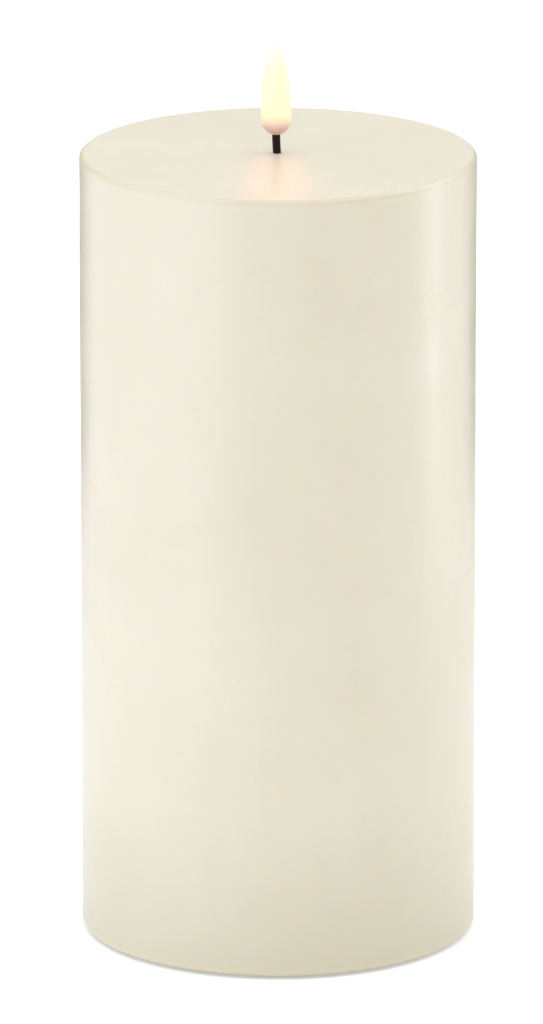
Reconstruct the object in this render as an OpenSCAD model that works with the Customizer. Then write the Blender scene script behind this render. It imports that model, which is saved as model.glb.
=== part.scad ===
// Flameless LED pillar candle: a hollow wax body over a plastic core, with a
// two-cell battery box, a hinged battery door and a mode switch underneath,
// and a translucent flame bulb on a black wick.
// Millimetres. +Z is up, and the origin is the centre of the resting plane.

/* [Wax body] */
// Outer diameter of the wax
wax_d = 100; // [98:1:104]
// Height of the wax rim above the resting plane
wax_top = 202; // [180:1:240]
// Thickness of the wax wall
wax_wall = 8; // [8:0.5:8.5]
// Thickness of the wax over the core
wax_cap = 12; // [11:0.5:14]
// Depth of the shallow dish in the top
dish_depth = 0.2; // [0.1:0.1:1.2]
// Rounding of the top rim
rim_r = 1.1; // [0.8:0.1:2.5]

/* [Flame and wick] */
// Widest diameter of the flame bulb
flame_d = 7.6; // [7:0.1:8.5]
// Height of the flame bulb
flame_h = 23.5; // [22:0.5:28]
// Outer diameter of the wick
wick_d = 2.1; // [2.1:0.1:2.4]
// Length of wick that shows between the wax and the flame
wick_show = 5; // [4:0.1:8]

/* [Battery cells] */
// Diameter of one D cell
cell_d = 33.2; // [32.5:0.1:34.2]
// Length of one D cell with its terminal
cell_h = 61; // [59.5:0.1:61]

/* [Underside] */
// Height that the feet lift the wax
foot_proud = 0.8; // [0.5:0.1:1]
// Depth of the base plate inside the wax
plate_recess = 1.6; // [1.6:0.1:2]
// Travel of the mode switch to each side of its middle position
switch_travel = 2.5; // [2:0.1:2.8]

/* [Hidden] */
$fn = 96;
slack = 0.2;                              // assembly gap between mouldings

// Base plate and the flange that lies on it
plate_z = foot_proud + plate_recess;
plate_t = 2.4;
plate_top = plate_z + plate_t;
flange_t = 2;
flange_top = plate_top + flange_t;
core_r = wax_d / 2 - wax_wall;            // bore of the wax
plate_r = core_r - slack;

// Core sleeve
sleeve_t = 1.8;
sleeve_in_r = plate_r - sleeve_t;
ceiling_z = wax_top - wax_cap;            // inner top of the wax
sleeve_top = ceiling_z - slack;
flange_r = sleeve_in_r - slack;

// Battery box
pocket_r = 17.6;
pocket_x = 18.1;
pocket_t = 1.4;
cell_z = plate_top + 4.7;                 // lower end of both cells
nub_r = 4.75;
nub_h = 1.5;
roof_z = cell_z + cell_h + 4.5;
roof_t = 1.6;
roof_top = roof_z + roof_t;
contact_t = 0.5;
contact_z = roof_z - 0.1 - contact_t;     // lower face of the roof contacts
tab_y = 8.1;
tab_w = 3;

// Battery door and its hinge
door_l = 76;
door_w = 40;
door_t = 2.2;
door_gap = 0.3;
hinge_relief = 1.1;
door_top = plate_z + door_t;
knuckle_r = 2;
hinge_y = -door_w / 2 - 2.4;
hinge_z = plate_z + knuckle_r;
pin_r = 0.9;
knuckle_x = 11;
knuckle_w = 6.4;
lug_edge = 7.5;
lug_outer = 14.5;
lug_end = 17.6;

// Door latch
latch_w = 9.2;
latch_y = 17.4;                           // pivot of the springy tongue
latch_z = plate_top + 8.2;
latch_r = 1.1;
latch_slot_w = 12.4;                      // notch in the door
latch_room = [10.8, 7, 10.4];             // closed pocket over the tongue, in the battery box
latch_room_y = 13;
latch_room_t = 1.2;                       // its wall

// Screws and feet
screw_pos = [10.5, 35];
screw_r = 1.25;
foot_pos = [20, 30.5];
foot_r = 4.5;
foot_sink = 0.8;
board_post = [24, 11];
board_post_h = 5;
board_z = roof_top + board_post_h;
board_t = 1.6;
board_top = board_z + board_t;

// Mode switch
switch_y = 26.4;
switch_post_x = 9.8;
switch_board_z = plate_top + 5.6;
switch_board_t = 1.2;
switch_slot = [10.6, 3.4];

// Flame board and wick
dish_z = wax_top - dish_depth;
flame_z = dish_z + wick_show;
flame_board_r = 13;
flame_board_t = 1.2;
flame_board_z = sleeve_top - sleeve_t - 9 - flame_board_t;
flame_post_x = 9.5;
socket_r = 2.8;
socket_top = ceiling_z + 6;
wick_r = wick_d / 2;
wick_hole_r = wick_r + 0.35;

// Wires
wire_r = 0.65;
wire_end_z = board_top + 3.1;
lead_pitch = 2;

// ---- helpers ----

function arc(cx, cz, r, from, to, steps = 8) =
    [for (i = [0:steps]) let (a = from + (to - from) * i / steps)
        [cx + r * cos(a), cz + r * sin(a)]];

function unit(v) = v / norm(v);

// A point on the smooth curve through p, between p[i] and p[i + 1]
function curve_point(p, i, t) =
    let (a = p[max(i - 1, 0)], b = p[i], c = p[i + 1], d = p[min(i + 2, len(p) - 1)])
    0.5 * (2 * b + (c - a) * t + (2 * a - 5 * b + 4 * c - d) * t * t
           + (3 * b - a - 3 * c + d) * t * t * t);

function curve(p, steps) =
    [for (i = [0:len(p) - 2]) for (k = [0:steps - 1]) curve_point(p, i, k / steps), p[len(p) - 1]];

function tangent(p, i) = unit(p[min(i + 1, len(p) - 1)] - p[max(i - 1, 0)]);

// A round tube along points p. side is a direction that the tube never runs in.
module tube(p, r, side, sides = 8) {
    n = len(p);
    rings = [for (i = [0:n - 1])
        let (t = tangent(p, i), u = unit(cross(side, t)), v = cross(t, u))
        for (k = [0:sides - 1]) p[i] + r * (cos(360 * k / sides) * u + sin(360 * k / sides) * v)];
    walls = [for (i = [0:n - 2]) for (k = [0:sides - 1])
        let (a = i * sides + k, b = i * sides + (k + 1) % sides)
        for (f = [[a, a + sides, b + sides], [a, b + sides, b]]) f];
    start = [for (k = [0:sides - 1]) k];
    end = [for (k = [sides - 1:-1:0]) (n - 1) * sides + k];
    polyhedron(points = rings, faces = concat(walls, [start, end]));
}

// A conical coil spring from radius r0 at height z0 to radius r1 at height z1
module coil(r0, r1, z0, z1, turns, r) {
    steps = 14 * turns;
    tube([for (i = [0:steps]) let (t = i / steps, a = 360 * turns * t, c = r0 + (r1 - r0) * t)
        [c * cos(a), c * sin(a), z0 + (z1 - z0) * t]], r, [0, 0, 1]);
}

module stadium(l, w) {
    square([l - w, w], center = true);
    for (s = [-1, 1]) translate([s * (l - w) / 2, 0]) circle(d = w);
}

module slab(l, w, z, t) {
    translate([-l / 2, -w / 2, z]) cube([l, w, t]);
}

module four(p) {
    for (sx = [-1, 1]) for (sy = [-1, 1]) translate([sx * p[0], sy * p[1], 0]) children();
}

module pair(x) {
    for (s = [-1, 1]) translate([s * x, 0, 0]) children();
}

// A cylinder along X, centred on x = 0
module bar_x(r, l, y, z) {
    translate([-l / 2, y, z]) rotate([0, 90, 0]) cylinder(r = r, h = l);
}

// A cross-recess screw with its head's outer face at z = 0 and its shank along +Z
module screw(head_r, head_h, shank_r, length) {
    difference() {
        union() {
            cylinder(r1 = head_r - 0.5, r2 = head_r, h = 0.5);
            translate([0, 0, 0.5]) cylinder(r = head_r, h = head_h - 0.5);
            cylinder(r = shank_r, h = head_h + length - 0.8);
            translate([0, 0, head_h + length - 0.8]) cylinder(r1 = shank_r, r2 = 0.3, h = 0.8);
        }
        for (a = [0, 90]) rotate(a) slab(head_r * 1.2, 0.6, -1, 1 + head_h * 0.6);
    }
}

// ---- wax and core ----

// The dish is flat-bottomed by a soft cosine, with a small dimple round the wick
function dish(r, land) = wax_top - dish_depth * (1 + cos(180 * pow(r / land, 2))) / 2;

module wax_shell() {
    foot_edge = 1.6;
    out_r = wax_d / 2;
    land = out_r - rim_r;
    dimple_r = 4;
    profile = concat(
        [[core_r, foot_proud]],
        arc(out_r - foot_edge, foot_proud + foot_edge, foot_edge, -90, 0),
        arc(out_r - rim_r, wax_top - rim_r, rim_r, 0, 90),
        [for (i = [1:10]) let (r = land + (dimple_r - land) * i / 10) [r, dish(r, land)]],
        [[wick_hole_r + 0.6, dish_z - 0.6], [wick_hole_r, dish_z - 1.2]],
        [[wick_hole_r, socket_top + slack], [socket_r + 1.4, socket_top + slack]],
        [[socket_r + 1.4, ceiling_z], [core_r, ceiling_z]]);
    color("ivory") rotate_extrude() polygon(profile);
}

module core_sleeve() {
    boss_r = 3.7;
    boss_h = 15;
    ceiling = sleeve_top - sleeve_t;
    color("whitesmoke") difference() {
        union() {
            difference() {
                translate([0, 0, plate_top]) cylinder(r = plate_r, h = sleeve_top - plate_top);
                translate([0, 0, plate_top - 1]) cylinder(r = sleeve_in_r, h = ceiling - plate_top + 1);
            }
            four(screw_pos) translate([0, 0, flange_top]) cylinder(r = boss_r, h = boss_h);
            pair(flame_post_x) translate([0, 0, flame_board_z + flame_board_t])
                cylinder(r = 2.5, h = ceiling - flame_board_z - flame_board_t + 0.5);
        }
        four(screw_pos) translate([0, 0, flange_top - 1]) cylinder(r = screw_r + 0.05, h = boss_h - 1);
        pair(flame_post_x) translate([0, 0, flame_board_z]) cylinder(r = 0.9, h = 9);
        translate([0, 0, ceiling - 1]) cylinder(r = socket_r + 0.1, h = sleeve_t + 2);
    }
}

// ---- underside ----

// Marks beside the switch: a bar for on, a ring for off, a clock for the timer
module switch_marks() {
    ring_r = 1.1;
    line = 0.35;
    step = 4;
    translate([-step, 0]) square([line, 2 * ring_r], center = true);
    difference() {
        circle(r = ring_r);
        circle(r = ring_r - line);
    }
    translate([step, 0]) {
        difference() {
            circle(r = ring_r);
            circle(r = ring_r - line);
        }
        translate([-line / 2, -line / 2]) square([line, ring_r * 0.8]);
        translate([-line / 2, -line / 2]) square([ring_r * 0.7, line]);
    }
}

module base_plate() {
    edge = 0.5;
    color("ivory") difference() {
        union() {
            translate([0, 0, plate_z]) cylinder(r1 = plate_r - edge, r2 = plate_r, h = edge);
            translate([0, 0, plate_z + edge]) cylinder(r = plate_r, h = plate_t - edge);
            pair(switch_post_x) translate([0, switch_y, plate_top - 0.5])
                cylinder(r = 2.1, h = switch_board_z - plate_top + 0.5);
        }
        // The opening is wider on the hinge side, where the door's edge swings outwards
        for (y = [0, -hinge_relief]) translate([0, y, plate_z - 1]) linear_extrude(plate_t + 2)
            stadium(door_l + 2 * door_gap, door_w + 2 * door_gap);
        translate([-lug_end - 0.6, hinge_y - 3, plate_z - 1])
            cube([2 * lug_end + 1.2, 6, plate_t + 2]);
        four(screw_pos) {
            translate([0, 0, plate_z - 1]) cylinder(r = screw_r + 0.35, h = plate_t + 2);
            translate([0, 0, plate_z - 1]) cylinder(r = 3, h = 2.4);
        }
        four(foot_pos) translate([0, 0, plate_z - 1]) cylinder(r = foot_r + 0.1, h = 1 + foot_sink);
        translate([0, switch_y, plate_z - 1]) {
            linear_extrude(2) stadium(18, 7.6);
            slab(switch_slot[0], switch_slot[1], 0, plate_t + 2);
        }
        pair(switch_post_x) translate([0, switch_y, plate_top]) cylinder(r = 0.7, h = 9);
        translate([0, 33.4, plate_z - 1]) linear_extrude(1.3) switch_marks();
    }
}

module battery_box() {
    color("white") difference() {
        union() {
            translate([0, 0, plate_top]) cylinder(r = flange_r, h = flange_t);
            pair(pocket_x) translate([0, 0, plate_top])
                cylinder(r = pocket_r + pocket_t, h = roof_top - plate_top);
            four(board_post) translate([0, 0, roof_z]) cylinder(r = 2.5, h = board_z - roof_z);
            bar_x(knuckle_r, 2 * lug_end, hinge_y, hinge_z);
            translate([-lug_end, hinge_y - knuckle_r, hinge_z])
                cube([2 * lug_end, 2 * knuckle_r, plate_top - hinge_z + 0.5]);
            translate([-latch_room[0] / 2 - latch_room_t, latch_room_y - latch_room_t, plate_top])
                cube(latch_room + latch_room_t * [2, 2, 1]);
        }
        pair(pocket_x) translate([0, 0, hinge_z - 4]) cylinder(r = pocket_r, h = roof_z - hinge_z + 4);
        pair((lug_edge + lug_outer) / 2) translate([0, hinge_y, hinge_z])
            slab(lug_outer - lug_edge, 6, -4, 8);
        bar_x(pin_r + 0.02, 2 * lug_end + 2, hinge_y, hinge_z);
        slab(12, 18, plate_top - 1, flange_t + 1);
        translate([-latch_room[0] / 2, latch_room_y, plate_top - 1]) cube(latch_room + [0, 0, 1]);
        translate([0, switch_y + 0.2, plate_top - 1]) slab(24.4, 8.2, 0, flange_t + 2);
        four(screw_pos) translate([0, 0, plate_top - 1]) cylinder(r = screw_r + 0.35, h = flange_t + 2);
        four(board_post) translate([0, 0, roof_z + 0.8]) cylinder(r = 0.9, h = 9);
        pair(pocket_x) translate([0, tab_y, roof_z - 1]) slab(tab_w + 1, 1.2, 0, roof_t + 2);
    }
}

// ---- battery door ----

module polarity_marks() {
    arm = 5;
    line = 1;
    for (s = [-1, 1]) translate([s * 29, 0]) {
        square([arm, line], center = true);
        if (s < 0) square([line, arm], center = true);
    }
}

module battery_door() {
    rib_h = 1.6;
    leg_w = 6.8;
    leg_y = 13.4;
    leg_t = 1.2;
    bridge_y = latch_y - latch_r - slack;  // end of the arm beside the tongue's pivot
    color("ivory") difference() {
        union() {
            translate([0, 0, plate_z]) linear_extrude(door_t) stadium(door_l, door_w);
            pair(knuckle_x) {
                bar_x(knuckle_r, knuckle_w, hinge_y, hinge_z);
                translate([-knuckle_w / 2, hinge_y, plate_z]) cube([knuckle_w, 4, knuckle_r]);
            }
            translate([0, 0, door_top - 0.5]) linear_extrude(rib_h + 0.5) difference() {
                stadium(54, 15);
                stadium(51.6, 12.6);
            }
            for (x = [-9, 9]) translate([x, 0, door_top - 0.5]) cylinder(r = 0.9, h = 1.6);
            translate([-leg_w / 2, leg_y, door_top - 0.5])
                cube([leg_w, leg_t, latch_z + 0.6 - door_top + 0.5]);
            translate([-leg_w / 2, leg_y, latch_z - 0.6]) cube([leg_w, bridge_y - leg_y, 1.2]);
        }
        translate([-latch_slot_w / 2, leg_y + leg_t, plate_z - 1])
            cube([latch_slot_w, 8, door_t + 1.01]);
        bar_x(pin_r + 0.07, 2 * lug_end, hinge_y, hinge_z);
        translate([0, -3, plate_z - 1]) slab(40.4, 16.4, 0, 1.25);
        translate([0, 0, plate_z - 1]) linear_extrude(1.3) polarity_marks();
    }
}

// The springy tongue of the door: a leg with a finger pad below and a nose that meets the flange
module door_latch() {
    leg_y = latch_y + 0.2;
    leg_t = 1.2;
    nose = 19.7;
    pad_y = door_w / 2 - 2.9;
    side = [[leg_y, latch_z], [leg_y, door_top], [pad_y, door_top], [pad_y, plate_z],
            [door_w / 2 - 0.1, plate_z], [door_w / 2 - 0.1, door_top], [leg_y + leg_t, door_top + 0.6],
            [leg_y + leg_t, flange_top + 0.2], [nose, flange_top + 0.7], [nose, flange_top + 1],
            [leg_y + leg_t, flange_top + 2], [leg_y + leg_t, latch_z]];
    color("ivory") difference() {
        union() {
            translate([-latch_w / 2, 0, 0]) rotate([90, 0, 90]) linear_extrude(latch_w) polygon(side);
            bar_x(latch_r, latch_w, latch_y, latch_z);
        }
        for (y = [0.8, 1.6]) bar_x(0.22, latch_w + 1, pad_y + y, plate_z);
    }
}

module hinge_pin() {
    color("silver") bar_x(pin_r, 2 * lug_end - 0.4, hinge_y, hinge_z);
}

module door_label() {
    color("lightgray") translate([0, -3, 0]) slab(40, 16, plate_z + 0.1, 0.15);
}

// ---- contacts and cells ----

// A pressed dome of sheet metal that rises by h from z = 0
module contact_dome(h) {
    rotate_extrude() polygon([[6, 0], [4.4, h], [0, h], [0, h - contact_t], [4, h - contact_t],
                              [5.4, 0]]);
}

module bridge_contact() {
    reach = cell_z - 0.3 - door_top;
    color("gainsboro") {
        difference() {
            slab(46, 8, door_top, contact_t);
            for (x = [-9, 9]) translate([x, 0, door_top - 1]) cylinder(r = 0.95, h = 3);
            translate([pocket_x, 0, door_top - 1]) cylinder(r = 5.2, h = 3);
        }
        translate([pocket_x, 0, door_top]) intersection() {
            contact_dome(reach);
            slab(12, 8, -1, reach + 2);
        }
    }
}

module bridge_spring() {
    wire = 0.45;
    base = door_top + contact_t + wire;
    color("silver") translate([-pocket_x, 0, 0])
        coil(3.4, 2.4, base + 0.02, cell_z - 0.3 - wire, 3, wire);
}

// A contact plate under the roof, with a solder tab that passes up through its slot
module roof_contact(tab_len) {
    slab(14, 12, contact_z, contact_t);
    translate([-tab_w / 2, 5, contact_z]) cube([tab_w, tab_y - 5 + contact_t / 2, contact_t]);
    translate([-tab_w / 2, tab_y - contact_t / 2, contact_z]) cube([tab_w, contact_t, tab_len]);
}

module plus_contact() {
    drop = contact_z - cell_z - cell_h - 0.1;
    color("gainsboro") translate([-pocket_x, 0, 0]) {
        difference() {
            roof_contact(5.2);
            translate([0, 0, contact_z - 1]) cylinder(r = 5.2, h = 3);
        }
        translate([0, 0, contact_z + contact_t]) mirror([0, 0, 1]) contact_dome(drop + contact_t);
    }
}

module minus_contact() {
    color("gainsboro") translate([pocket_x, 0, 0]) roof_contact(5.2);
}

module minus_spring() {
    wire = 0.5;
    color("silver") translate([pocket_x, 0, 0])
        coil(5.4, 3.6, contact_z - wire - 0.02, cell_z + cell_h + wire + 0.1, 3, wire);
}

// One D cell that stands on z = 0 with its terminal on top
module cell() {
    r = cell_d / 2;
    body = cell_h - nub_h;
    rotate_extrude() polygon(concat(
        [[0, 0.3], [11, 0.3], [11.4, 0], [r - 1.6, 0]],
        arc(r - 0.9, 0.9, 0.7, -90, 0, 4), [[r - 0.2, 1.8], [r, 2.2], [r, body - 2.2]],
        [[r - 0.2, body - 1.8]], arc(r - 0.9, body - 0.7, 0.7, 0, 90, 4),
        [[r - 2, body], [r - 2.4, body - 0.6], [nub_r + 2, body - 0.6], [nub_r + 1, body]],
        [[nub_r, body], [nub_r - 0.2, cell_h - 0.3], [nub_r - 0.5, cell_h], [0, cell_h]]));
}

module cell_left() {
    color("dimgray") translate([-pocket_x, 0, cell_z]) cell();
}

module cell_right() {
    color("dimgray") translate([pocket_x, 0, cell_z + cell_h]) mirror([0, 0, 1]) cell();
}

// ---- electronics ----

module main_board() {
    color("darkgreen") difference() {
        slab(58, 32, board_z, board_t);
        four(board_post) translate([0, 0, board_z - 1]) cylinder(r = 1.2, h = board_t + 2);
    }
}

// A package with gull legs along both long sides
module control_chip() {
    legs = 7;
    pitch = 1.27;
    color("black") translate([-6, 1, 0]) {
        slab(8.7, 3.9, board_top + 0.2, 1.4);
        for (i = [0:legs - 1]) translate([(i - (legs - 1) / 2) * pitch, 0, 0]) {
            slab(0.42, 6, board_top, 0.25);
            slab(0.42, 4.4, board_top, 0.9);
        }
    }
}

module crystal() {
    color("silver") translate([8, -8, 0]) {
        translate([0, 0, board_top]) linear_extrude(0.5) stadium(11.4, 4.8);
        translate([0, 0, board_top + 0.5]) linear_extrude(3) stadium(10.6, 4);
    }
}

module capacitor() {
    color("navy") translate([15.5, 5.5, board_top]) {
        cylinder(r = 3.15, h = 6.2);
        translate([0, 0, 6.2]) cylinder(r1 = 3.15, r2 = 2.8, h = 0.4);
    }
}

module transistors() {
    color("black") for (x = [-17, -12]) translate([x, -8, 0]) {
        slab(2.9, 1.3, board_top + 0.1, 1);
        for (p = [[-0.95, -0.95], [0.95, -0.95], [0, 0.95]])
            translate([p[0], p[1], 0]) slab(0.4, 0.9, board_top, 0.4);
    }
}

module resistors() {
    color("black") for (i = [0:7]) translate([-16 + 3.4 * i, i % 2 == 0 ? 7.6 : 5.4, 0])
        slab(2, 1.25, board_top, 0.5);
}

// A wire-to-board header of n ways that opens towards +X
module header(n) {
    w = 2 * n + 2;
    difference() {
        translate([-3, -w / 2, board_top]) cube([6, w, 5.8]);
        for (i = [0:n - 1]) translate([0, (i - (n - 1) / 2) * lead_pitch, 0])
            translate([2, -wire_r - 0.05, wire_end_z - wire_r - 0.05])
                cube([2, 2 * wire_r + 0.1, 2 * wire_r + 0.1]);
        translate([-2, -w / 2 + 1, board_top + 4.6]) cube([3, w - 2, 2]);
    }
}

module battery_connector() {
    color("white") translate([-25.5, 0, 0]) rotate(180) header(2);
}

module flame_connector() {
    color("white") translate([25.5, 0, 0]) header(3);
}

module switch_connector() {
    color("white") translate([0, 12.5, 0]) rotate(90) header(3);
}

module switch_board() {
    color("darkgreen") difference() {
        translate([0, switch_y, 0]) slab(24, 8.8, switch_board_z, switch_board_t);
        pair(switch_post_x) translate([0, switch_y, switch_board_z - 1]) cylinder(r = 0.95, h = 4);
    }
}

module switch_case() {
    bottom = plate_top + 0.2;
    color("silver") difference() {
        translate([0, switch_y, 0]) slab(15, 6.4, bottom, switch_board_z - bottom);
        translate([0, switch_y, 0]) slab(9.4, 2.4, bottom - 1, 4);
    }
}

// The finger knob and the stem that carries it in the switch
module switch_knob() {
    knob_z = foot_proud + 0.4;
    knob = [5.2, 3];
    color("dimgray") translate([0, switch_y, 0]) difference() {
        union() {
            slab(knob[0], knob[1], knob_z, plate_top + 0.1 - knob_z);
            slab(3.4, 2, plate_top - 0.4, 3);
        }
        for (i = [-2:2]) translate([i, 0, 0]) slab(0.4, knob[1] + 1, knob_z - 1, 1.4);
    }
}

// ---- wires ----

lead_plus_route = [[-18.1, 9.3, 78.9], [-20, 12, 78.8], [-26, 16, 79.4], [-32, 13, 82],
                   [-34, 6, 85], [-32, 1, 86.3], [-28.2, 1, 86.3]];
lead_minus_route = [[18.1, 9.3, 78.9], [17.6, 13, 78.8], [14, 18, 79.2], [6, 20.4, 79.6],
                    [-8, 21.2, 80.6], [-22, 21, 83], [-32, 17, 86], [-36.4, 8, 88],
                    [-34.6, 0, 87.4], [-32, -1, 86.3], [-28.2, -1, 86.3]];
switch_route = [[0, 26.6, 11.7], [0, 26.7, 16], [0, 28.6, 30], [0, 28.8, 50], [0, 28.2, 70],
                [0, 26, 81], [0, 22.4, 85.9], [0, 18.8, 86.3], [0, 15.2, 86.3]];
flame_route = [[28.2, 0, 86.3], [30, 0, 86.4], [34, 0, 88.4], [35.6, 0, 93], [35.8, 0, 106], [34, 1, 128],
               [29, 2, 150], [19, 1, 166], [8, -4, 172], [7.8, -5, 177.6]];

module lead_plus() {
    color("red") tube(curve(lead_plus_route, 4), wire_r, [0.2, 0.3, 1]);
}

module lead_minus() {
    color("black") tube(curve(lead_minus_route, 4), wire_r, [0.2, 0.3, 1]);
}

module switch_leads() {
    color("gray") for (i = [-1, 0, 1]) translate([lead_pitch * i, 0, 0])
        tube(curve(switch_route, 4), wire_r, [1, 0, 0]);
}

module flame_leads() {
    color("white") for (i = [-1, 0, 1]) translate([0, lead_pitch * i, 0])
        tube(curve(flame_route, 4), wire_r, [0, 1, 0]);
}

// ---- flame end ----

module flame_board() {
    color("darkgreen") difference() {
        translate([0, 0, flame_board_z]) cylinder(r = flame_board_r, h = flame_board_t);
        pair(flame_post_x) translate([0, 0, flame_board_z - 1]) cylinder(r = 1.1, h = 4);
        translate([0, 0, flame_board_z - 1]) cylinder(r = wick_r + 0.15, h = 4);
    }
}

// A three-pin infrared receiver with a domed face
module ir_receiver() {
    top = flame_board_z + flame_board_t;
    color("black") translate([0, -7.5, 0]) {
        slab(5.8, 2.6, top + 1.2, 5.6);
        translate([0, -1.3, top + 4]) sphere(r = 2);
        for (i = [-1, 0, 1]) translate([2 * i, 0, 0]) slab(0.5, 0.5, top, 1.4);
    }
}

// The flanged bush that holds the wick under the wax
module wick_socket() {
    ceiling = sleeve_top - sleeve_t;
    color("white") difference() {
        union() {
            translate([0, 0, ceiling - 1.6]) cylinder(r = 6, h = 1.6);
            translate([0, 0, ceiling - 1]) cylinder(r = socket_r, h = socket_top - ceiling + 1);
        }
        translate([0, 0, ceiling - 3]) cylinder(r = wick_r + 0.02, h = socket_top - ceiling + 6);
    }
}

module socket_ring() {
    color("silver") difference() {
        translate([0, 0, sleeve_top]) cylinder(r = socket_r + 1.1, h = 0.8);
        translate([0, 0, sleeve_top - 1]) cylinder(r = socket_r, h = 3);
    }
}

module wick() {
    foot = flame_board_z + 0.4;
    color([0.06, 0.05, 0.05]) difference() {
        translate([0, 0, foot]) cylinder(r = wick_r, h = flame_z + 2 - foot);
        translate([0, 0, foot - 1]) cylinder(r = 0.65, h = flame_z + 4 - foot);
    }
}

// Outer radius of the flame at height h: a round base that flows into a long tapering tip
flame_base_h = 4;
function flame_r(h, shell = 0) =
    let (r = flame_d / 2 - shell, top = flame_h - shell, low = flame_base_h)
    h < low ? r * sqrt(max(0, 1 - pow((low - h) / (low - shell), 2)))
            : r * pow(max(0, 1 - pow((h - low) / (top - low), 2.6)), 0.62);

module flame_bulb() {
    shell = 0.8;
    steps = 22;
    socket_h = 2.2;
    hole_r = wick_r + 0.03;
    // Heights crowd towards both ends, where the outline turns fastest
    outer = [for (i = [0:steps]) let (h = flame_h * (1 - cos(180 * i / steps)) / 2)
        if (flame_r(h) > hole_r + 0.2 || i > steps / 2) [flame_r(h), h]];
    inner = [for (i = [steps:-1:0])
        let (h = shell + (flame_h - 2 * shell) * (1 - cos(180 * i / steps)) / 2)
        if (h > socket_h + 0.1) [flame_r(h, shell), h]];
    color("lemonchiffon", 0.8) translate([0, 0, flame_z]) rotate_extrude()
        polygon(concat([[hole_r, outer[0][1]]], outer, inner, [[hole_r, socket_h]]));
}

module flame_strip() {
    color("khaki") translate([0, 0, flame_z - 9]) slab(0.9, 0.3, 0, 25.5);
}

module flame_led() {
    color("gold") translate([-0.5, -0.95, 0]) cube([1, 0.8, 1.6]);
}

module led_upper() {
    translate([0, 0, flame_z + 12.8]) flame_led();
}

module led_lower() {
    translate([0, 0, flame_z + 5.4]) flame_led();
}

// ---- feet and fasteners ----

module feet() {
    color("dimgray") four(foot_pos) {
        cylinder(r1 = foot_r - 0.4, r2 = foot_r, h = 0.4);
        translate([0, 0, 0.4]) cylinder(r = foot_r, h = plate_z + foot_sink - 0.4);
    }
}

module base_screws() {
    color("silver") four(screw_pos) translate([0, 0, plate_z - 0.2]) screw(2.6, 1.6, screw_r, 12);
}

module board_screws() {
    color("silver") four(board_post) translate([0, 0, board_top + 1.2]) mirror([0, 0, 1])
        screw(1.9, 1.2, 0.85, 5);
}

module switch_screws() {
    color("silver") pair(switch_post_x) translate([0, switch_y, switch_board_z + switch_board_t + 1])
        mirror([0, 0, 1]) screw(1.5, 1, 0.65, 5);
}

module flame_board_screws() {
    color("silver") pair(flame_post_x) translate([0, 0, flame_board_z - 1.2])
        screw(1.9, 1.2, 0.85, 6);
}

wax_shell();
core_sleeve();
base_plate();
battery_box();
battery_door();
door_latch();
hinge_pin();
door_label();
bridge_contact();
bridge_spring();
plus_contact();
minus_contact();
minus_spring();
cell_left();
cell_right();
main_board();
control_chip();
crystal();
capacitor();
transistors();
resistors();
battery_connector();
switch_connector();
flame_connector();
switch_board();
switch_case();
switch_knob();
lead_plus();
lead_minus();
switch_leads();
flame_leads();
flame_board();
ir_receiver();
wick_socket();
socket_ring();
wick();
flame_bulb();
flame_strip();
led_upper();
led_lower();
feet();
base_screws();
board_screws();
switch_screws();
flame_board_screws();
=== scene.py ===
import math

import bpy
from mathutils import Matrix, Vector, noise


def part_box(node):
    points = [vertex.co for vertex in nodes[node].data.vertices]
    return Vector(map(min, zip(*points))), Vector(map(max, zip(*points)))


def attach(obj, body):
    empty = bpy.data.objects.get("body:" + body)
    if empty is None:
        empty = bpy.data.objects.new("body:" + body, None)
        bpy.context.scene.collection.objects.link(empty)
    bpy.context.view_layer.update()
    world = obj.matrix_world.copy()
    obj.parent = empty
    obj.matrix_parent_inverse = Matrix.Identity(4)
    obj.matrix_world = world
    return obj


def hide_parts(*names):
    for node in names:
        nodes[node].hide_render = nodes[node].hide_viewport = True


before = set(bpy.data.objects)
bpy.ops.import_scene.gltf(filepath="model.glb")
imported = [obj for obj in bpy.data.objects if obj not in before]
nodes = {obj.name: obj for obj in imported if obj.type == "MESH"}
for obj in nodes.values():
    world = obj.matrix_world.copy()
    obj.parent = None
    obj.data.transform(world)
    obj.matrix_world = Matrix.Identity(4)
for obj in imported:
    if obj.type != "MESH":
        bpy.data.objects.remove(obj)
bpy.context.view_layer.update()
scene = bpy.context.scene
MM = 0.001

# ---- places taken from the frame ----

wax_low, wax_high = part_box("wax_shell")
core_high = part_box("core_sleeve")[1]
wick_low, wick_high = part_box("wick")
flame_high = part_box("flame_bulb")[1]
GAP = 0.2 * MM                        # between the wax and what it was cast round
WAX_R = wax_high.x
WAX_TOP = wax_high.z
WAX_FOOT = wax_low.z
RIM_R = 1.1 * MM                      # rounding of the rim
FOOT_R = 1.6 * MM                     # rounding of the lower edge
DISH_DEPTH = 0.2 * MM
CORE_R = core_high.x + GAP
CEILING = core_high.z + GAP
SOCKET_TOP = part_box("wick_socket")[1].z + GAP
WICK_R = wick_high.x
WICK_TOP = wick_high.z
FLAME_R = flame_high.x
FLAME_TOP = flame_high.z
FLAME_BASE = WICK_TOP - 2.0 * MM      # lowest point of the flame's round base
FLAME_LEAN = -0.5 * MM                # the wick leans a little, so the flame stands left of the middle


# ---- camera ----

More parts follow.
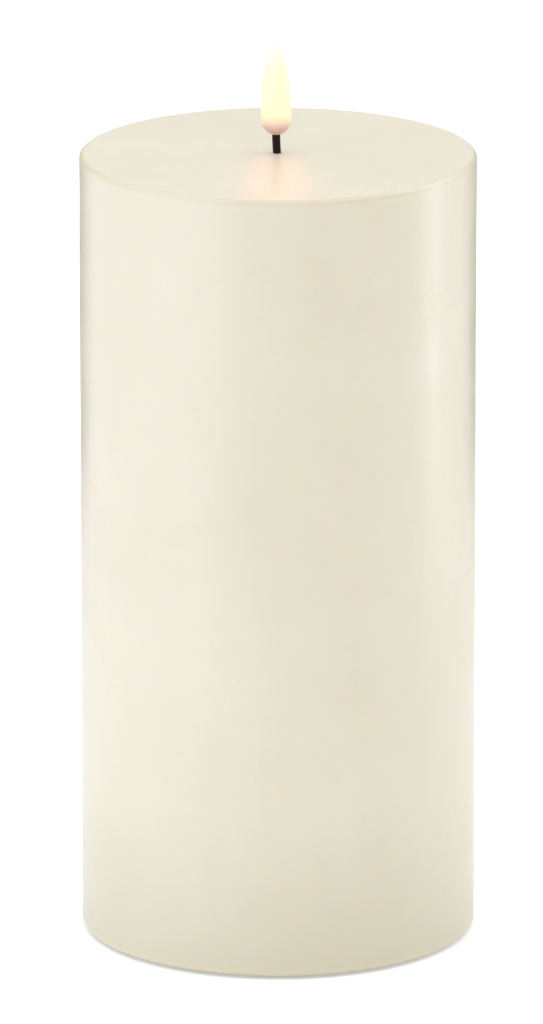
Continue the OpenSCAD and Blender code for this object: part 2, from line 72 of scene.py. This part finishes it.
def make_camera():
    """A long lens 3 m away that looks down a little, aimed just left of and above the candle's middle."""
    distance = 3.0
    pitch = math.radians(15.58)
    off_right = 1.67 * MM
    off_down = 7.25 * MM
    middle = Vector((0, 0, WAX_TOP / 2))
    camera = bpy.data.objects.new("camera", bpy.data.cameras.new("camera"))
    camera.data.sensor_width = 36.0
    camera.data.lens = 416.2
    camera.data.clip_start = 0.1
    camera.data.clip_end = 60.0
    camera.location = middle + distance * Vector((0, -math.cos(pitch), math.sin(pitch)))
    up = Vector((0, math.sin(pitch), math.cos(pitch)))
    aim = middle - Vector((off_right, 0, 0)) + off_down * up
    camera.rotation_mode = "QUATERNION"
    camera.rotation_quaternion = (aim - camera.location).to_track_quat("-Z", "Y")
    scene.collection.objects.link(camera)
    scene.camera = camera


# ---- material tools ----

class Surface:
    """A node material: wraps the tree, and adds nodes with short calls."""

    def __init__(self, name):
        self.material = bpy.data.materials.new(name)
        self.material.use_nodes = True
        self.tree = self.material.node_tree
        self.shader = self.tree.nodes["Principled BSDF"]
        self.place = self.tree.nodes.new("ShaderNodeTexCoord").outputs["Object"]

    def set(self, **values):
        """Constants on the shader's own sockets, such as roughness=0.4 or coat_weight=0.1."""
        for key, value in values.items():
            self.shader.inputs[key.replace("_", " ").title().replace("Ior", "IOR")].default_value = value
        return self

    def feed(self, socket, output):
        """Links an output to a socket of the shader."""
        self.tree.links.new(output, self.shader.inputs[socket])

    def node(self, kind, **links):
        """A new node with its inputs linked or set by name."""
        made = self.tree.nodes.new("ShaderNode" + kind)
        for key, value in links.items():
            self.put(made.inputs[key], value)
        return made

    def put(self, socket, value):
        """Links or sets one input, as the value is an output or a number."""
        if isinstance(value, bpy.types.NodeSocket):
            self.tree.links.new(value, socket)
        else:
            socket.default_value = value

    def stretched(self, x, y, z):
        """The object's own coordinates, scaled along each axis."""
        made = self.node("Mapping", Vector=self.place)
        made.inputs["Scale"].default_value = (x, y, z)
        return made.outputs["Vector"]

    def noise(self, size, detail=3.0, roughness=0.5, place=None, distortion=0.0):
        """Smooth noise whose features are about size metres wide."""
        made = self.node("TexNoise", Vector=place or self.place)
        made.inputs["Scale"].default_value = 1.0 / size
        made.inputs["Detail"].default_value = detail
        made.inputs["Roughness"].default_value = roughness
        made.inputs["Distortion"].default_value = distortion
        return made.outputs["Fac"]

    def cells(self, size, place=None):
        """Distance to the nearest of many scattered points about size metres apart."""
        made = self.node("TexVoronoi", Vector=place or self.place)
        made.inputs["Scale"].default_value = 1.0 / size
        return made.outputs["Distance"]

    def math(self, operation, a, b=0.0, clamp=False):
        """One sum or test on two values."""
        made = self.tree.nodes.new("ShaderNodeMath")
        made.operation = operation
        made.use_clamp = clamp
        self.put(made.inputs[0], a)
        self.put(made.inputs[1], b)
        return made.outputs[0]

    def spread(self, value, low, high, to_low=0.0, to_high=1.0):
        """Maps low..high to to_low..to_high, held at both ends."""
        made = self.node("MapRange", Value=value)
        for key, number in (("From Min", low), ("From Max", high), ("To Min", to_low), ("To Max", to_high)):
            made.inputs[key].default_value = number
        return made.outputs["Result"]

    def axis(self, which):
        """One of the object's own coordinates: X, Y or Z."""
        made = self.node("SeparateXYZ", Vector=self.place)
        return made.outputs[which]

    def mix(self, factor, a, b):
        """The colour a at factor 0, and b at factor 1."""
        made = self.tree.nodes.new("ShaderNodeMix")
        made.data_type = "RGBA"
        self.put(made.inputs[0], factor)
        for socket, value in ((made.inputs[6], a), (made.inputs[7], b)):
            self.put(socket, value if isinstance(value, bpy.types.NodeSocket) else (*value, 1.0))
        return made.outputs[2]

    def ramp(self, value, *stops):
        """Colours at places from 0 to 1 along value."""
        made = self.node("ValToRGB", Fac=value)
        elements = made.color_ramp.elements
        elements[0].position = stops[0][0]
        elements[1].position = stops[-1][0]
        for position, _ in stops[1:-1]:
            elements.new(position)
        for element, (_, colour) in zip(elements, stops):
            element.color = (*colour, 1.0)
        return made.outputs["Color"]

    def bump(self, height, distance, strength=1.0, under=None):
        """Relief of height 0..1 that is distance metres deep, on top of another relief."""
        made = self.node("Bump", Height=height)
        made.inputs["Distance"].default_value = distance
        made.inputs["Strength"].default_value = strength
        if under is not None:
            self.put(made.inputs["Normal"], under)
        return made.outputs["Normal"]


def darker(colour, share):
    """The colour at a share of its brightness."""
    return tuple(c * share for c in colour)


# ---- materials ----

def wax():
    """Cast wax: smooth and ivory, translucent, faintly mottled, with painted shade that darkens and yellows
    it towards its foot, and a painted shade band on its rounded rim.
    """
    s = Surface("ivory_wax")
    s.set(subsurface_weight=1.0, subsurface_scale=3.0 * MM, subsurface_radius=(1.0, 0.72, 0.42),
          ior=1.5, specular_ior_level=1.0)
    # The third colour is the painted shade at the foot of the wax.
    pale, deep, painted_foot_shade = (0.640, 0.600, 0.484), (0.606, 0.564, 0.440), (0.525, 0.487, 0.358)
    foot_shade_height = 45 * MM
    rim_shade_soft = 0.6 * MM
    cloud = s.noise(45 * MM, detail=4.0, roughness=0.55, distortion=0.6)
    streak = s.noise(9 * MM, detail=3.0, place=s.stretched(1.0, 1.0, 0.16))
    blend = s.math("ADD", s.math("MULTIPLY", cloud, 0.7), s.math("MULTIPLY", streak, 0.3))
    base = s.mix(s.spread(blend, 0.32, 0.68), deep, pale)
    speck = s.spread(s.noise(1.3 * MM, detail=1.0), 0.70, 0.78)
    base = s.mix(s.math("MULTIPLY", speck, 0.35), base, darker(deep, 0.93))
    x, y, z = s.axis("X"), s.axis("Y"), s.axis("Z")
    # Painted shade: the wax colour turns darker and more yellow towards its foot, over its lowest 45 mm.
    base = s.mix(s.spread(z, WAX_FOOT, foot_shade_height, 0.75, 0.0), base, painted_foot_shade)
    # Painted shade: a darker band of colour on the rounded rim of the top, which holds down the rim's
    # brightness.
    radius = s.math("SQRT", s.math("ADD", s.math("MULTIPLY", x, x), s.math("MULTIPLY", y, y)))
    outer = s.spread(radius, WAX_R - RIM_R - rim_shade_soft, WAX_R - RIM_R + rim_shade_soft / 2)
    upper = s.spread(z, WAX_TOP - RIM_R - rim_shade_soft, WAX_TOP - RIM_R + rim_shade_soft / 2)
    s.feed("Base Color", s.mix(s.math("MULTIPLY", outer, upper), base, darker(pale, 0.87)))
    bloom = s.noise(14 * MM, detail=5.0, roughness=0.6)
    s.feed("Roughness", s.spread(bloom, 0.3, 0.7, 0.28, 0.38))
    peel = s.bump(s.noise(2.2 * MM, detail=2.0), 0.02 * MM)
    s.feed("Normal", s.bump(s.noise(12 * MM, detail=2.0), 0.10 * MM, under=peel))
    return s.material


def plastic(name, colour, roughness=0.45, grain=0.35 * MM, depth=0.012 * MM, shift=0.05, **extra):
    """Moulded plastic with a spark-eroded grain and a slight unevenness of colour and sheen."""
    s = Surface(name)
    s.set(ior=1.46, **extra)
    tone = s.noise(11 * MM, detail=4.0, roughness=0.6)
    s.feed("Base Color", s.mix(s.spread(tone, 0.3, 0.7), darker(colour, 1.0 - shift), colour))
    s.feed("Roughness", s.spread(s.noise(4 * MM, detail=5.0), 0.3, 0.7, roughness - 0.06, roughness + 0.07))
    s.feed("Normal", s.bump(s.noise(grain, detail=2.0, roughness=0.7), depth))
    return s.material


def metal(name, colour, roughness=0.28, along=(1.0, 1.0, 0.08)):
    """Plated sheet or wire: fine drawn streaks, and a duller bloom in patches."""
    s = Surface(name)
    s.set(metallic=1.0)
    streak = s.noise(0.5 * MM, detail=3.0, place=s.stretched(*along))
    dull = s.noise(3.5 * MM, detail=5.0, roughness=0.65)
    s.feed("Base Color", s.mix(s.spread(dull, 0.35, 0.7), colour, darker(colour, 0.90)))
    s.feed("Roughness", s.spread(s.math("ADD", streak, dull), 0.6, 1.4, roughness - 0.06, roughness + 0.10))
    s.feed("Normal", s.bump(streak, 0.003 * MM))
    return s.material


def rubber(name, colour):
    """Soft pad with a fine matt grain and a little dust."""
    s = Surface(name)
    s.set(specular_ior_level=0.35)
    dust = s.spread(s.noise(1.4 * MM, detail=6.0, roughness=0.7), 0.45, 0.8)
    s.feed("Base Color", s.mix(s.math("MULTIPLY", dust, 0.14), colour, (0.30, 0.29, 0.27)))
    s.feed("Roughness", s.spread(dust, 0.0, 1.0, 0.62, 0.85))
    s.feed("Normal", s.bump(s.noise(0.28 * MM, detail=3.0), 0.03 * MM))
    return s.material


def circuit(name):
    """Green solder mask over etched tracks, with tinned pads."""
    s = Surface(name)
    s.set(ior=1.5, coat_weight=0.4, coat_roughness=0.2)
    track = s.spread(s.noise(2.4 * MM, detail=0.0, place=s.stretched(1.0, 0.35, 1.0)), 0.47, 0.50)
    weave = s.noise(0.4 * MM, detail=2.0)
    mask = s.mix(track, (0.010, 0.085, 0.035), (0.018, 0.140, 0.055))
    pad = s.spread(s.cells(4.2 * MM), 0.13, 0.11)
    s.feed("Base Color", s.mix(pad, mask, (0.66, 0.64, 0.58)))
    s.feed("Metallic", pad)
    s.feed("Roughness", s.spread(weave, 0.3, 0.7, 0.26, 0.38))
    s.feed("Normal", s.bump(track, 0.03 * MM, under=s.bump(pad, 0.04 * MM)))
    return s.material


def cell_jacket(name, low, high, plus_up):
    """A D cell: a plain printed jacket with a pale band at the plus end, and bare steel at both ends."""
    s = Surface(name)
    stripe_from = 0.705                   # shares of the cell's height, from its minus end
    band_from = 0.74
    cap_from = 0.955
    foot_to = 0.009
    z = s.axis("Z")
    up = s.spread(z, low, high) if plus_up else s.spread(z, high, low)
    band = s.math("GREATER_THAN", up, band_from)
    stripe = s.math("MULTIPLY", s.math("GREATER_THAN", up, stripe_from), s.math("LESS_THAN", up, band_from))
    jacket = s.mix(band, (0.030, 0.034, 0.042), (0.58, 0.40, 0.16))
    jacket = s.mix(stripe, jacket, (0.70, 0.70, 0.68))
    cap = s.math("GREATER_THAN", up, cap_from)
    steel = s.math("ADD", cap, s.math("LESS_THAN", up, foot_to), clamp=True)
    scuff = s.spread(s.noise(1.2 * MM, detail=6.0, roughness=0.7), 0.62, 0.74)
    s.feed("Base Color", s.mix(steel, s.mix(s.math("MULTIPLY", scuff, 0.2), jacket, (0.5, 0.5, 0.5)),
                               (0.68, 0.67, 0.65)))
    s.feed("Metallic", s.spread(steel, 0.0, 1.0, 0.35, 1.0))
    s.feed("Roughness", s.spread(scuff, 0.0, 1.0, 0.26, 0.5))
    s.feed("Normal", s.bump(s.noise(5 * MM, detail=3.0), 0.03 * MM))
    return s.material


def label_film(name, low, high):
    """A blank rating label: satin film with a thin printed frame, and no lettering."""
    s = Surface(name)
    frame_from = 0.8 * MM                 # from the label's edge
    frame_to = 1.05 * MM
    s.set(specular_ior_level=0.4)
    x, y = s.axis("X"), s.axis("Y")
    edge_x = s.math("MINIMUM", s.math("SUBTRACT", x, low.x), s.math("SUBTRACT", high.x, x))
    edge_y = s.math("MINIMUM", s.math("SUBTRACT", y, low.y), s.math("SUBTRACT", high.y, y))
    edge = s.math("MINIMUM", edge_x, edge_y)
    past = s.math("GREATER_THAN", edge, frame_from)
    printed = s.math("MULTIPLY", past, s.math("LESS_THAN", edge, frame_to))
    paper = s.mix(s.noise(0.6 * MM, detail=4.0), (0.70, 0.70, 0.68), (0.78, 0.78, 0.76))
    s.feed("Base Color", s.mix(printed, paper, (0.16, 0.16, 0.17)))
    s.feed("Roughness", s.spread(s.noise(3 * MM), 0.3, 0.7, 0.40, 0.52))
    s.feed("Normal", s.bump(s.noise(0.25 * MM, detail=3.0), 0.006 * MM))
    return s.material


def wick_skin():
    """A black sleeve with a dry, slightly fibrous surface and browner high spots."""
    s = Surface("wick_black")
    s.set(specular_ior_level=0.15)
    fibre = s.noise(0.25 * MM, detail=4.0, place=s.stretched(1.0, 1.0, 0.35))
    s.feed("Base Color", s.mix(s.spread(fibre, 0.4, 0.75), (0.006, 0.0045, 0.0035), (0.024, 0.016, 0.010)))
    s.feed("Roughness", s.spread(fibre, 0.3, 0.7, 0.55, 0.8))
    s.feed("Normal", s.bump(fibre, 0.05 * MM))
    return s.material


def flame_skin():
    """A frosted bulb lit from inside: pale yellow, soft cream towards the tip, with a pinkish base."""
    s = Surface("flame_frosted")
    s.set(ior=1.45, subsurface_weight=0.5, subsurface_scale=1.2 * MM, subsurface_radius=(1.0, 0.8, 0.6),
          roughness=0.4, specular_ior_level=0.35)
    height = s.spread(s.axis("Z"), FLAME_BASE, FLAME_TOP)
    base = s.ramp(height, (0.00, (0.30, 0.20, 0.16)), (0.10, (0.34, 0.24, 0.20)), (0.20, (0.30, 0.27, 0.18)),
                  (0.70, (0.34, 0.31, 0.22)), (0.90, (0.56, 0.50, 0.42)), (1.00, (0.58, 0.50, 0.43)))
    glow = s.ramp(height, (0.00, (0.20, 0.11, 0.09)), (0.10, (0.38, 0.26, 0.22)), (0.17, (0.66, 0.52, 0.36)),
                  (0.26, (0.80, 0.76, 0.46)), (0.66, (0.80, 0.78, 0.44)), (0.84, (0.56, 0.53, 0.36)),
                  (0.95, (0.36, 0.32, 0.26)), (1.00, (0.34, 0.28, 0.23)))
    s.feed("Base Color", base)
    s.feed("Emission Color", glow)
    s.feed("Emission Strength", s.spread(s.noise(2.5 * MM, detail=2.0), 0.3, 0.7, 0.94, 1.04))
    return s.material


# ---- mesh tools ----

def add_mesh(name, vertices, faces, smooth=True):
    """A new object in the scene from points and faces."""
    mesh = bpy.data.meshes.new(name)
    mesh.from_pydata(vertices, [], faces)
    mesh.validate()
    if smooth:
        mesh.polygons.foreach_set("use_smooth", [True] * len(mesh.polygons))
    made = bpy.data.objects.new(name, mesh)
    scene.collection.objects.link(made)
    return made


def arc(r, z, radius, start, end, steps):
    """Points round (r, z), from start to end degrees."""
    angles = [math.radians(start + (end - start) * i / steps) for i in range(steps + 1)]
    return [(r + radius * math.cos(a), z + radius * math.sin(a)) for a in angles]


def line(a, b, steps):
    """Points from a to b, without the last one."""
    return [(a[0] + (b[0] - a[0]) * i / steps, a[1] + (b[1] - a[1]) * i / steps) for i in range(steps)]


def lathe(name, profile, segments, closed=True, move=None):
    """Turns a profile of (radius, height) round the Z axis. Points on the axis become one vertex."""
    vertices, rings = [], []
    for r, z in profile:
        if r < 1e-9:
            rings.append([len(vertices)] * segments)
            vertices.append((0.0, 0.0, z))
            continue
        rings.append(range(len(vertices), len(vertices) + segments))
        for k in range(segments):
            a = 2 * math.pi * k / segments
            vertices.append((r * math.cos(a), r * math.sin(a), z))
    if move:
        vertices = [move(Vector(v)) for v in vertices]
    pairs = list(zip(rings, rings[1:])) + ([(rings[-1], rings[0])] if closed else [])
    faces = []
    for low, high in pairs:
        for k in range(segments):
            face = (low[k], low[(k + 1) % segments], high[(k + 1) % segments], high[k])
            face = tuple(dict.fromkeys(face))
            if len(face) > 2:
                faces.append(face)
    return add_mesh(name, vertices, faces)


def finish_piece(piece, material, body, slot, *replaced):
    """Gives a piece its material and body, and hides the CAD nodes that it stands for. The slot argument is
    not used.
    """
    piece.data.materials.append(material)
    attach(piece, body)
    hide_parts(*replaced)


# ---- pieces made here ----

def make_wax():
    """The wax body: a softly rounded rim, a shallow dish, and wax that climbs a little way up the wick."""
    land = WAX_R - RIM_R
    foot = WAX_R - FOOT_R
    hole_r = WICK_R + 0.04 * MM
    socket_r = 4.2 * MM
    climb = 0.35 * MM
    climb_r = 0.8 * MM
    side_wave = 0.16 * MM
    top_wave = 0.25 * MM
    edge_calm = 6 * MM                    # the waves die out over these lengths
    rim_calm = 5 * MM
    follow_r = 5 * MM                     # the wax nearer than this follows the wick

    def top_height(r):
        """Height of the top at a radius: the dish, and the wax that climbs the wick."""
        bowl = DISH_DEPTH * (1 + math.cos(math.pi * min(1.0, r / land) ** 2.4)) / 2
        return WAX_TOP - bowl + climb * math.exp((hole_r - r) / climb_r)

    top_steps = 64
    top = [hole_r + (land - hole_r) * (1 - i / top_steps) ** 1.6 for i in range(1, top_steps + 1)]
    hole_top = top_height(hole_r)
    profile = (
        line((CORE_R, WAX_FOOT), (foot, WAX_FOOT), 8)
        + arc(foot, WAX_FOOT + FOOT_R, FOOT_R, -90, 0, 10)[:-1]
        + line((WAX_R, WAX_FOOT + FOOT_R), (WAX_R, WAX_TOP - RIM_R), 110)
        + arc(land, WAX_TOP - RIM_R, RIM_R, 0, 90, 14)
        + [(r, top_height(r)) for r in top]
        + line((hole_r, hole_top - 0.3 * MM), (hole_r, SOCKET_TOP), 6)
        + line((hole_r, SOCKET_TOP), (socket_r, SOCKET_TOP), 2)
        + line((socket_r, SOCKET_TOP), (socket_r, CEILING), 3)
        + line((socket_r, CEILING), (CORE_R, CEILING), 8)
        + line((CORE_R, CEILING), (CORE_R, WAX_FOOT), 30)
    )

    def uneven(v):
        """Casting unevenness: hollows only, so that no dimension grows. The bore's top follows the wick."""
        r = math.hypot(v.x, v.y)
        wave = 0.5 + 0.5 * noise.fractal(v * 28.0, 0.8, 2.1, 3)
        if r > foot:
            fade = min(1.0, (WAX_TOP - v.z) / edge_calm) * min(1.0, (v.z - WAX_FOOT) / edge_calm)
            depth = side_wave * wave * fade
            return (v.x * (1 - depth / r), v.y * (1 - depth / r), v.z)
        if v.z > WAX_TOP - edge_calm / 2:
            fade = min(1.0, (r - hole_r) / edge_calm) * min(1.0, (land - r) / rim_calm)
            follow = max(0.0, 1 - (r - hole_r) / follow_r)
            return (v.x + (lean(v)[0] - v.x) * follow, v.y, v.z - top_wave * wave * fade)
        return lean(v) if r < hole_r * 1.01 else tuple(v)

    piece = lathe("wax_body", profile, 256, move=uneven)
    finish_piece(piece, wax(), "root", "wax", "wax_shell")


def flame_radius(share):
    """The flame's outer radius at a share of its height: a round base that flows into a long narrow tip."""
    widest_at = 0.17
    if share < widest_at:
        return FLAME_R * math.sqrt(max(0.0, 1 - ((widest_at - share) / widest_at) ** 2))
    t = (share - widest_at) / (1 - widest_at)
    return FLAME_R * max(0.0, 1 - t ** 2.45) ** 0.66


def lean(v):
    """Moves a point sideways with the wick, from nothing in the socket to the full lean at the flame."""
    t = min(1.0, max(0.0, (v.z - SOCKET_TOP) / (FLAME_BASE - SOCKET_TOP)))
    return (v.x + FLAME_LEAN * t * t * (3 - 2 * t), v.y, v.z)


def make_flame():
    """The closed bulb, with a socket in its base for the wick. It casts no shadow on the wax it lights."""
    steps = 72
    height = FLAME_TOP - FLAME_BASE
    hole_r = WICK_R + 0.05 * MM
    hole_top = FLAME_BASE + 2.2 * MM
    shares = [(1 - math.cos(math.pi * i / steps)) / 2 for i in range(steps + 1)]
    outer = [(flame_radius(s), FLAME_BASE + s * height) for s in shares]
    outer = [p for p in outer if p[0] > hole_r or p[1] > FLAME_BASE + height / 2]
    outer[-1] = (0.0, FLAME_TOP)
    profile = [(0.0, hole_top), (hole_r, hole_top), (hole_r, outer[0][1])] + outer
    piece = lathe("flame_bulb_frosted", profile, 96, closed=False, move=lean)
    piece.visible_shadow = False
    finish_piece(piece, flame_skin(), "root", "flame_plastic", "flame_bulb")


def make_wick():
    """A black tube with small ripples, as shrunk on."""
    low = wick_low.z
    bore = 0.65 * MM
    ripple = 0.03 * MM
    steps = 120
    outer = [(WICK_R - ripple * (1 + math.sin(i * 1.7)), low + (WICK_TOP - low) * i / steps)
             for i in range(steps + 1)]
    profile = [(bore, low)] + outer + [(bore, WICK_TOP)]
    piece = lathe("wick_sleeve", profile, 32, move=lean)
    finish_piece(piece, wick_skin(), "root", "wick_black", "wick")


# ---- materials of the CAD nodes ----

def dress(material, *names):
    """Gives CAD nodes a material."""
    for name in names:
        data = nodes[name].data
        data.materials.clear()
        data.materials.append(material)


def dress_all():
    """Every CAD node that stays gets the material of what it is made of."""
    white = (0.80, 0.80, 0.78)
    ivory = (0.80, 0.745, 0.60)
    dress(plastic("liner_plastic", white, 0.5), "core_sleeve", "wick_socket")
    dress(plastic("box_plastic", white, 0.42), "battery_box")
    dress(plastic("base_plastic", ivory, 0.48), "base_plate", "battery_door", "door_latch")
    dress(plastic("knob_plastic", (0.022, 0.022, 0.024), 0.4), "switch_knob")
    dress(plastic("header_plastic", (0.78, 0.76, 0.68), 0.35),
          "battery_connector", "switch_connector", "flame_connector")
    dress(plastic("chip_plastic", (0.016, 0.016, 0.017), 0.5, grain=0.2 * MM),
          "control_chip", "transistors", "resistors", "ir_receiver")
    dress(plastic("capacitor_plastic", (0.012, 0.022, 0.085), 0.3), "capacitor")
    dress(plastic("strip_film", (0.58, 0.42, 0.12), 0.3), "flame_strip")
    dress(metal("plated_steel", (0.70, 0.70, 0.69), 0.3), "hinge_pin", "switch_case", "base_screws",
          "board_screws", "switch_screws", "flame_board_screws", "socket_ring", "crystal")
    dress(metal("contact_nickel", (0.76, 0.74, 0.70), 0.24, (0.08, 1.0, 1.0)),
          "bridge_contact", "plus_contact", "minus_contact")
    dress(metal("spring_wire", (0.74, 0.73, 0.70), 0.2), "bridge_spring", "minus_spring")
    dress(circuit("solder_mask"), "main_board", "switch_board", "flame_board")
    for name, colour in (("lead_plus", (0.50, 0.02, 0.015)), ("lead_minus", (0.015, 0.015, 0.016)),
                         ("switch_leads", (0.20, 0.21, 0.22)), ("flame_leads", (0.72, 0.72, 0.70))):
        dress(plastic(name + "_pvc", colour, 0.4, grain=0.8 * MM), name)
    for name, plus_up in (("cell_left", True), ("cell_right", False)):
        low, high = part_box(name)
        dress(cell_jacket(name + "_jacket", low.z, high.z, plus_up), name)
    dress(label_film("label_film", *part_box("door_label")), "door_label")
    dress(rubber("foot_rubber", (0.045, 0.045, 0.047)), "feet")
    dress(plastic("led_phosphor", (0.85, 0.60, 0.12), 0.3), "led_upper", "led_lower")


# ---- stage and light ----

def softbox(name, azimuth, distance, low, width, height, power, colour):
    """An upright panel that faces the candle. Azimuth 0 is at the camera, and positive is to its right."""
    a = math.radians(azimuth)
    place = Vector((distance * math.sin(a), -distance * math.cos(a), low + height / 2))
    return area_light(name, place, Vector((-place.x, -place.y, 0)), width, height, power, colour)


def area_light(name, place, facing, width, height, power, colour):
    """A soft panel that the camera doesn't see."""
    data = bpy.data.lights.new(name, "AREA")
    data.shape = "RECTANGLE"
    data.size, data.size_y = width, height
    data.energy = power
    data.color = colour
    light = bpy.data.objects.new(name, data)
    light.location = place
    light.rotation_mode = "QUATERNION"
    light.rotation_quaternion = facing.to_track_quat("-Z", "Y")
    light.visible_camera = False
    scene.collection.objects.link(light)
    return light


def make_flag(name, azimuth, distance, width, height):
    """A dark card behind the candle, out of the camera's sight, for the thin grey edge of its outline."""
    a = math.radians(azimuth)
    across = Vector((math.cos(a), math.sin(a), 0)) * width / 2
    middle = Vector((distance * math.sin(a), -distance * math.cos(a), 0.01))
    up = Vector((0, 0, height))
    card = add_mesh(name, [middle - across, middle + across, middle + across + up, middle - across + up],
                    [(0, 1, 2, 3)], smooth=False)
    felt = Surface(name + "_felt")
    felt.set(base_color=(0.05, 0.05, 0.05, 1), roughness=1.0, specular_ior_level=0.0)
    card.data.materials.append(felt.material)
    card.visible_camera = False


def make_glow():
    """The warm light of the lower LED, which shows as a peach sheen on the wax in front of the wick."""
    data = bpy.data.lights.new("led_glow", "POINT")
    data.shadow_soft_size = 3.6 * MM
    data.energy = 0.030
    data.color = (1.0, 0.17, 0.02)
    light = bpy.data.objects.new("led_glow", data)
    light.location = (FLAME_LEAN, 0, FLAME_BASE + 5.0 * MM)
    light.visible_camera = False
    light.visible_diffuse = False
    scene.collection.objects.link(light)


def make_stage():
    """A white studio: a plain floor, a pale sky, soft panels and two dark cards."""
    half = 12
    corners = [(-half, -half, 0), (half, -half, 0), (half, half, 0), (-half, half, 0)]
    floor = add_mesh("floor", corners, [(0, 1, 2, 3)], smooth=False)
    paper = Surface("floor_paper")
    paper.set(base_color=(0.76, 0.76, 0.76, 1), roughness=0.9, specular_ior_level=0.1,
              emission_color=(1.0, 1.0, 1.0, 1), emission_strength=0.27)
    floor.data.materials.append(paper.material)
    world = bpy.data.worlds.new("studio")
    world.use_nodes = True
    sky = world.node_tree.nodes["Background"]
    sky.inputs["Color"].default_value = (1.0, 1.0, 1.0, 1)
    sky.inputs["Strength"].default_value = 0.70
    scene.world = world
    window = (0.70, 0.78, 1.0)
    daylight = (0.78, 0.86, 1.0)
    neutral = (1.0, 0.995, 1.0)
    lamp = (1.0, 0.985, 0.95)
    softbox("softbox_left", -56, 0.55, 0.01, 0.56, 0.80, 1.60, window)
    low_left = softbox("low_left", -58, 0.20, 0.0, 0.14, 0.04, 0.030, daylight)
    low_left.visible_glossy = False
    softbox("strip_right", 98, 0.50, 0.01, 0.11, 0.80, 0.82, daylight)
    softbox("fill_front", 15, 1.80, 0.05, 2.40, 2.00, 4.5, lamp)
    overhead = area_light("overhead", Vector((0.0, 0.1, 1.5)), Vector((0, 0, -1)), 3.0, 3.0, 31.0, neutral)
    overhead.visible_glossy = False
    kicker = area_light("rim_kicker", Vector((0.40, 0.28, 0.545)), Vector((-0.40, -0.28, -0.345)),
                        0.30, 0.12, 0.45, lamp)
    kicker.visible_diffuse = False
    for name, side in (("flag_left", -1), ("flag_right", 1)):
        make_flag(name, side * 152, 0.42, 0.20, 0.45)
    make_glow()
    scene.view_settings.view_transform = "Standard"


make_camera()
make_wax()
make_flame()
make_wick()
dress_all()
make_stage()
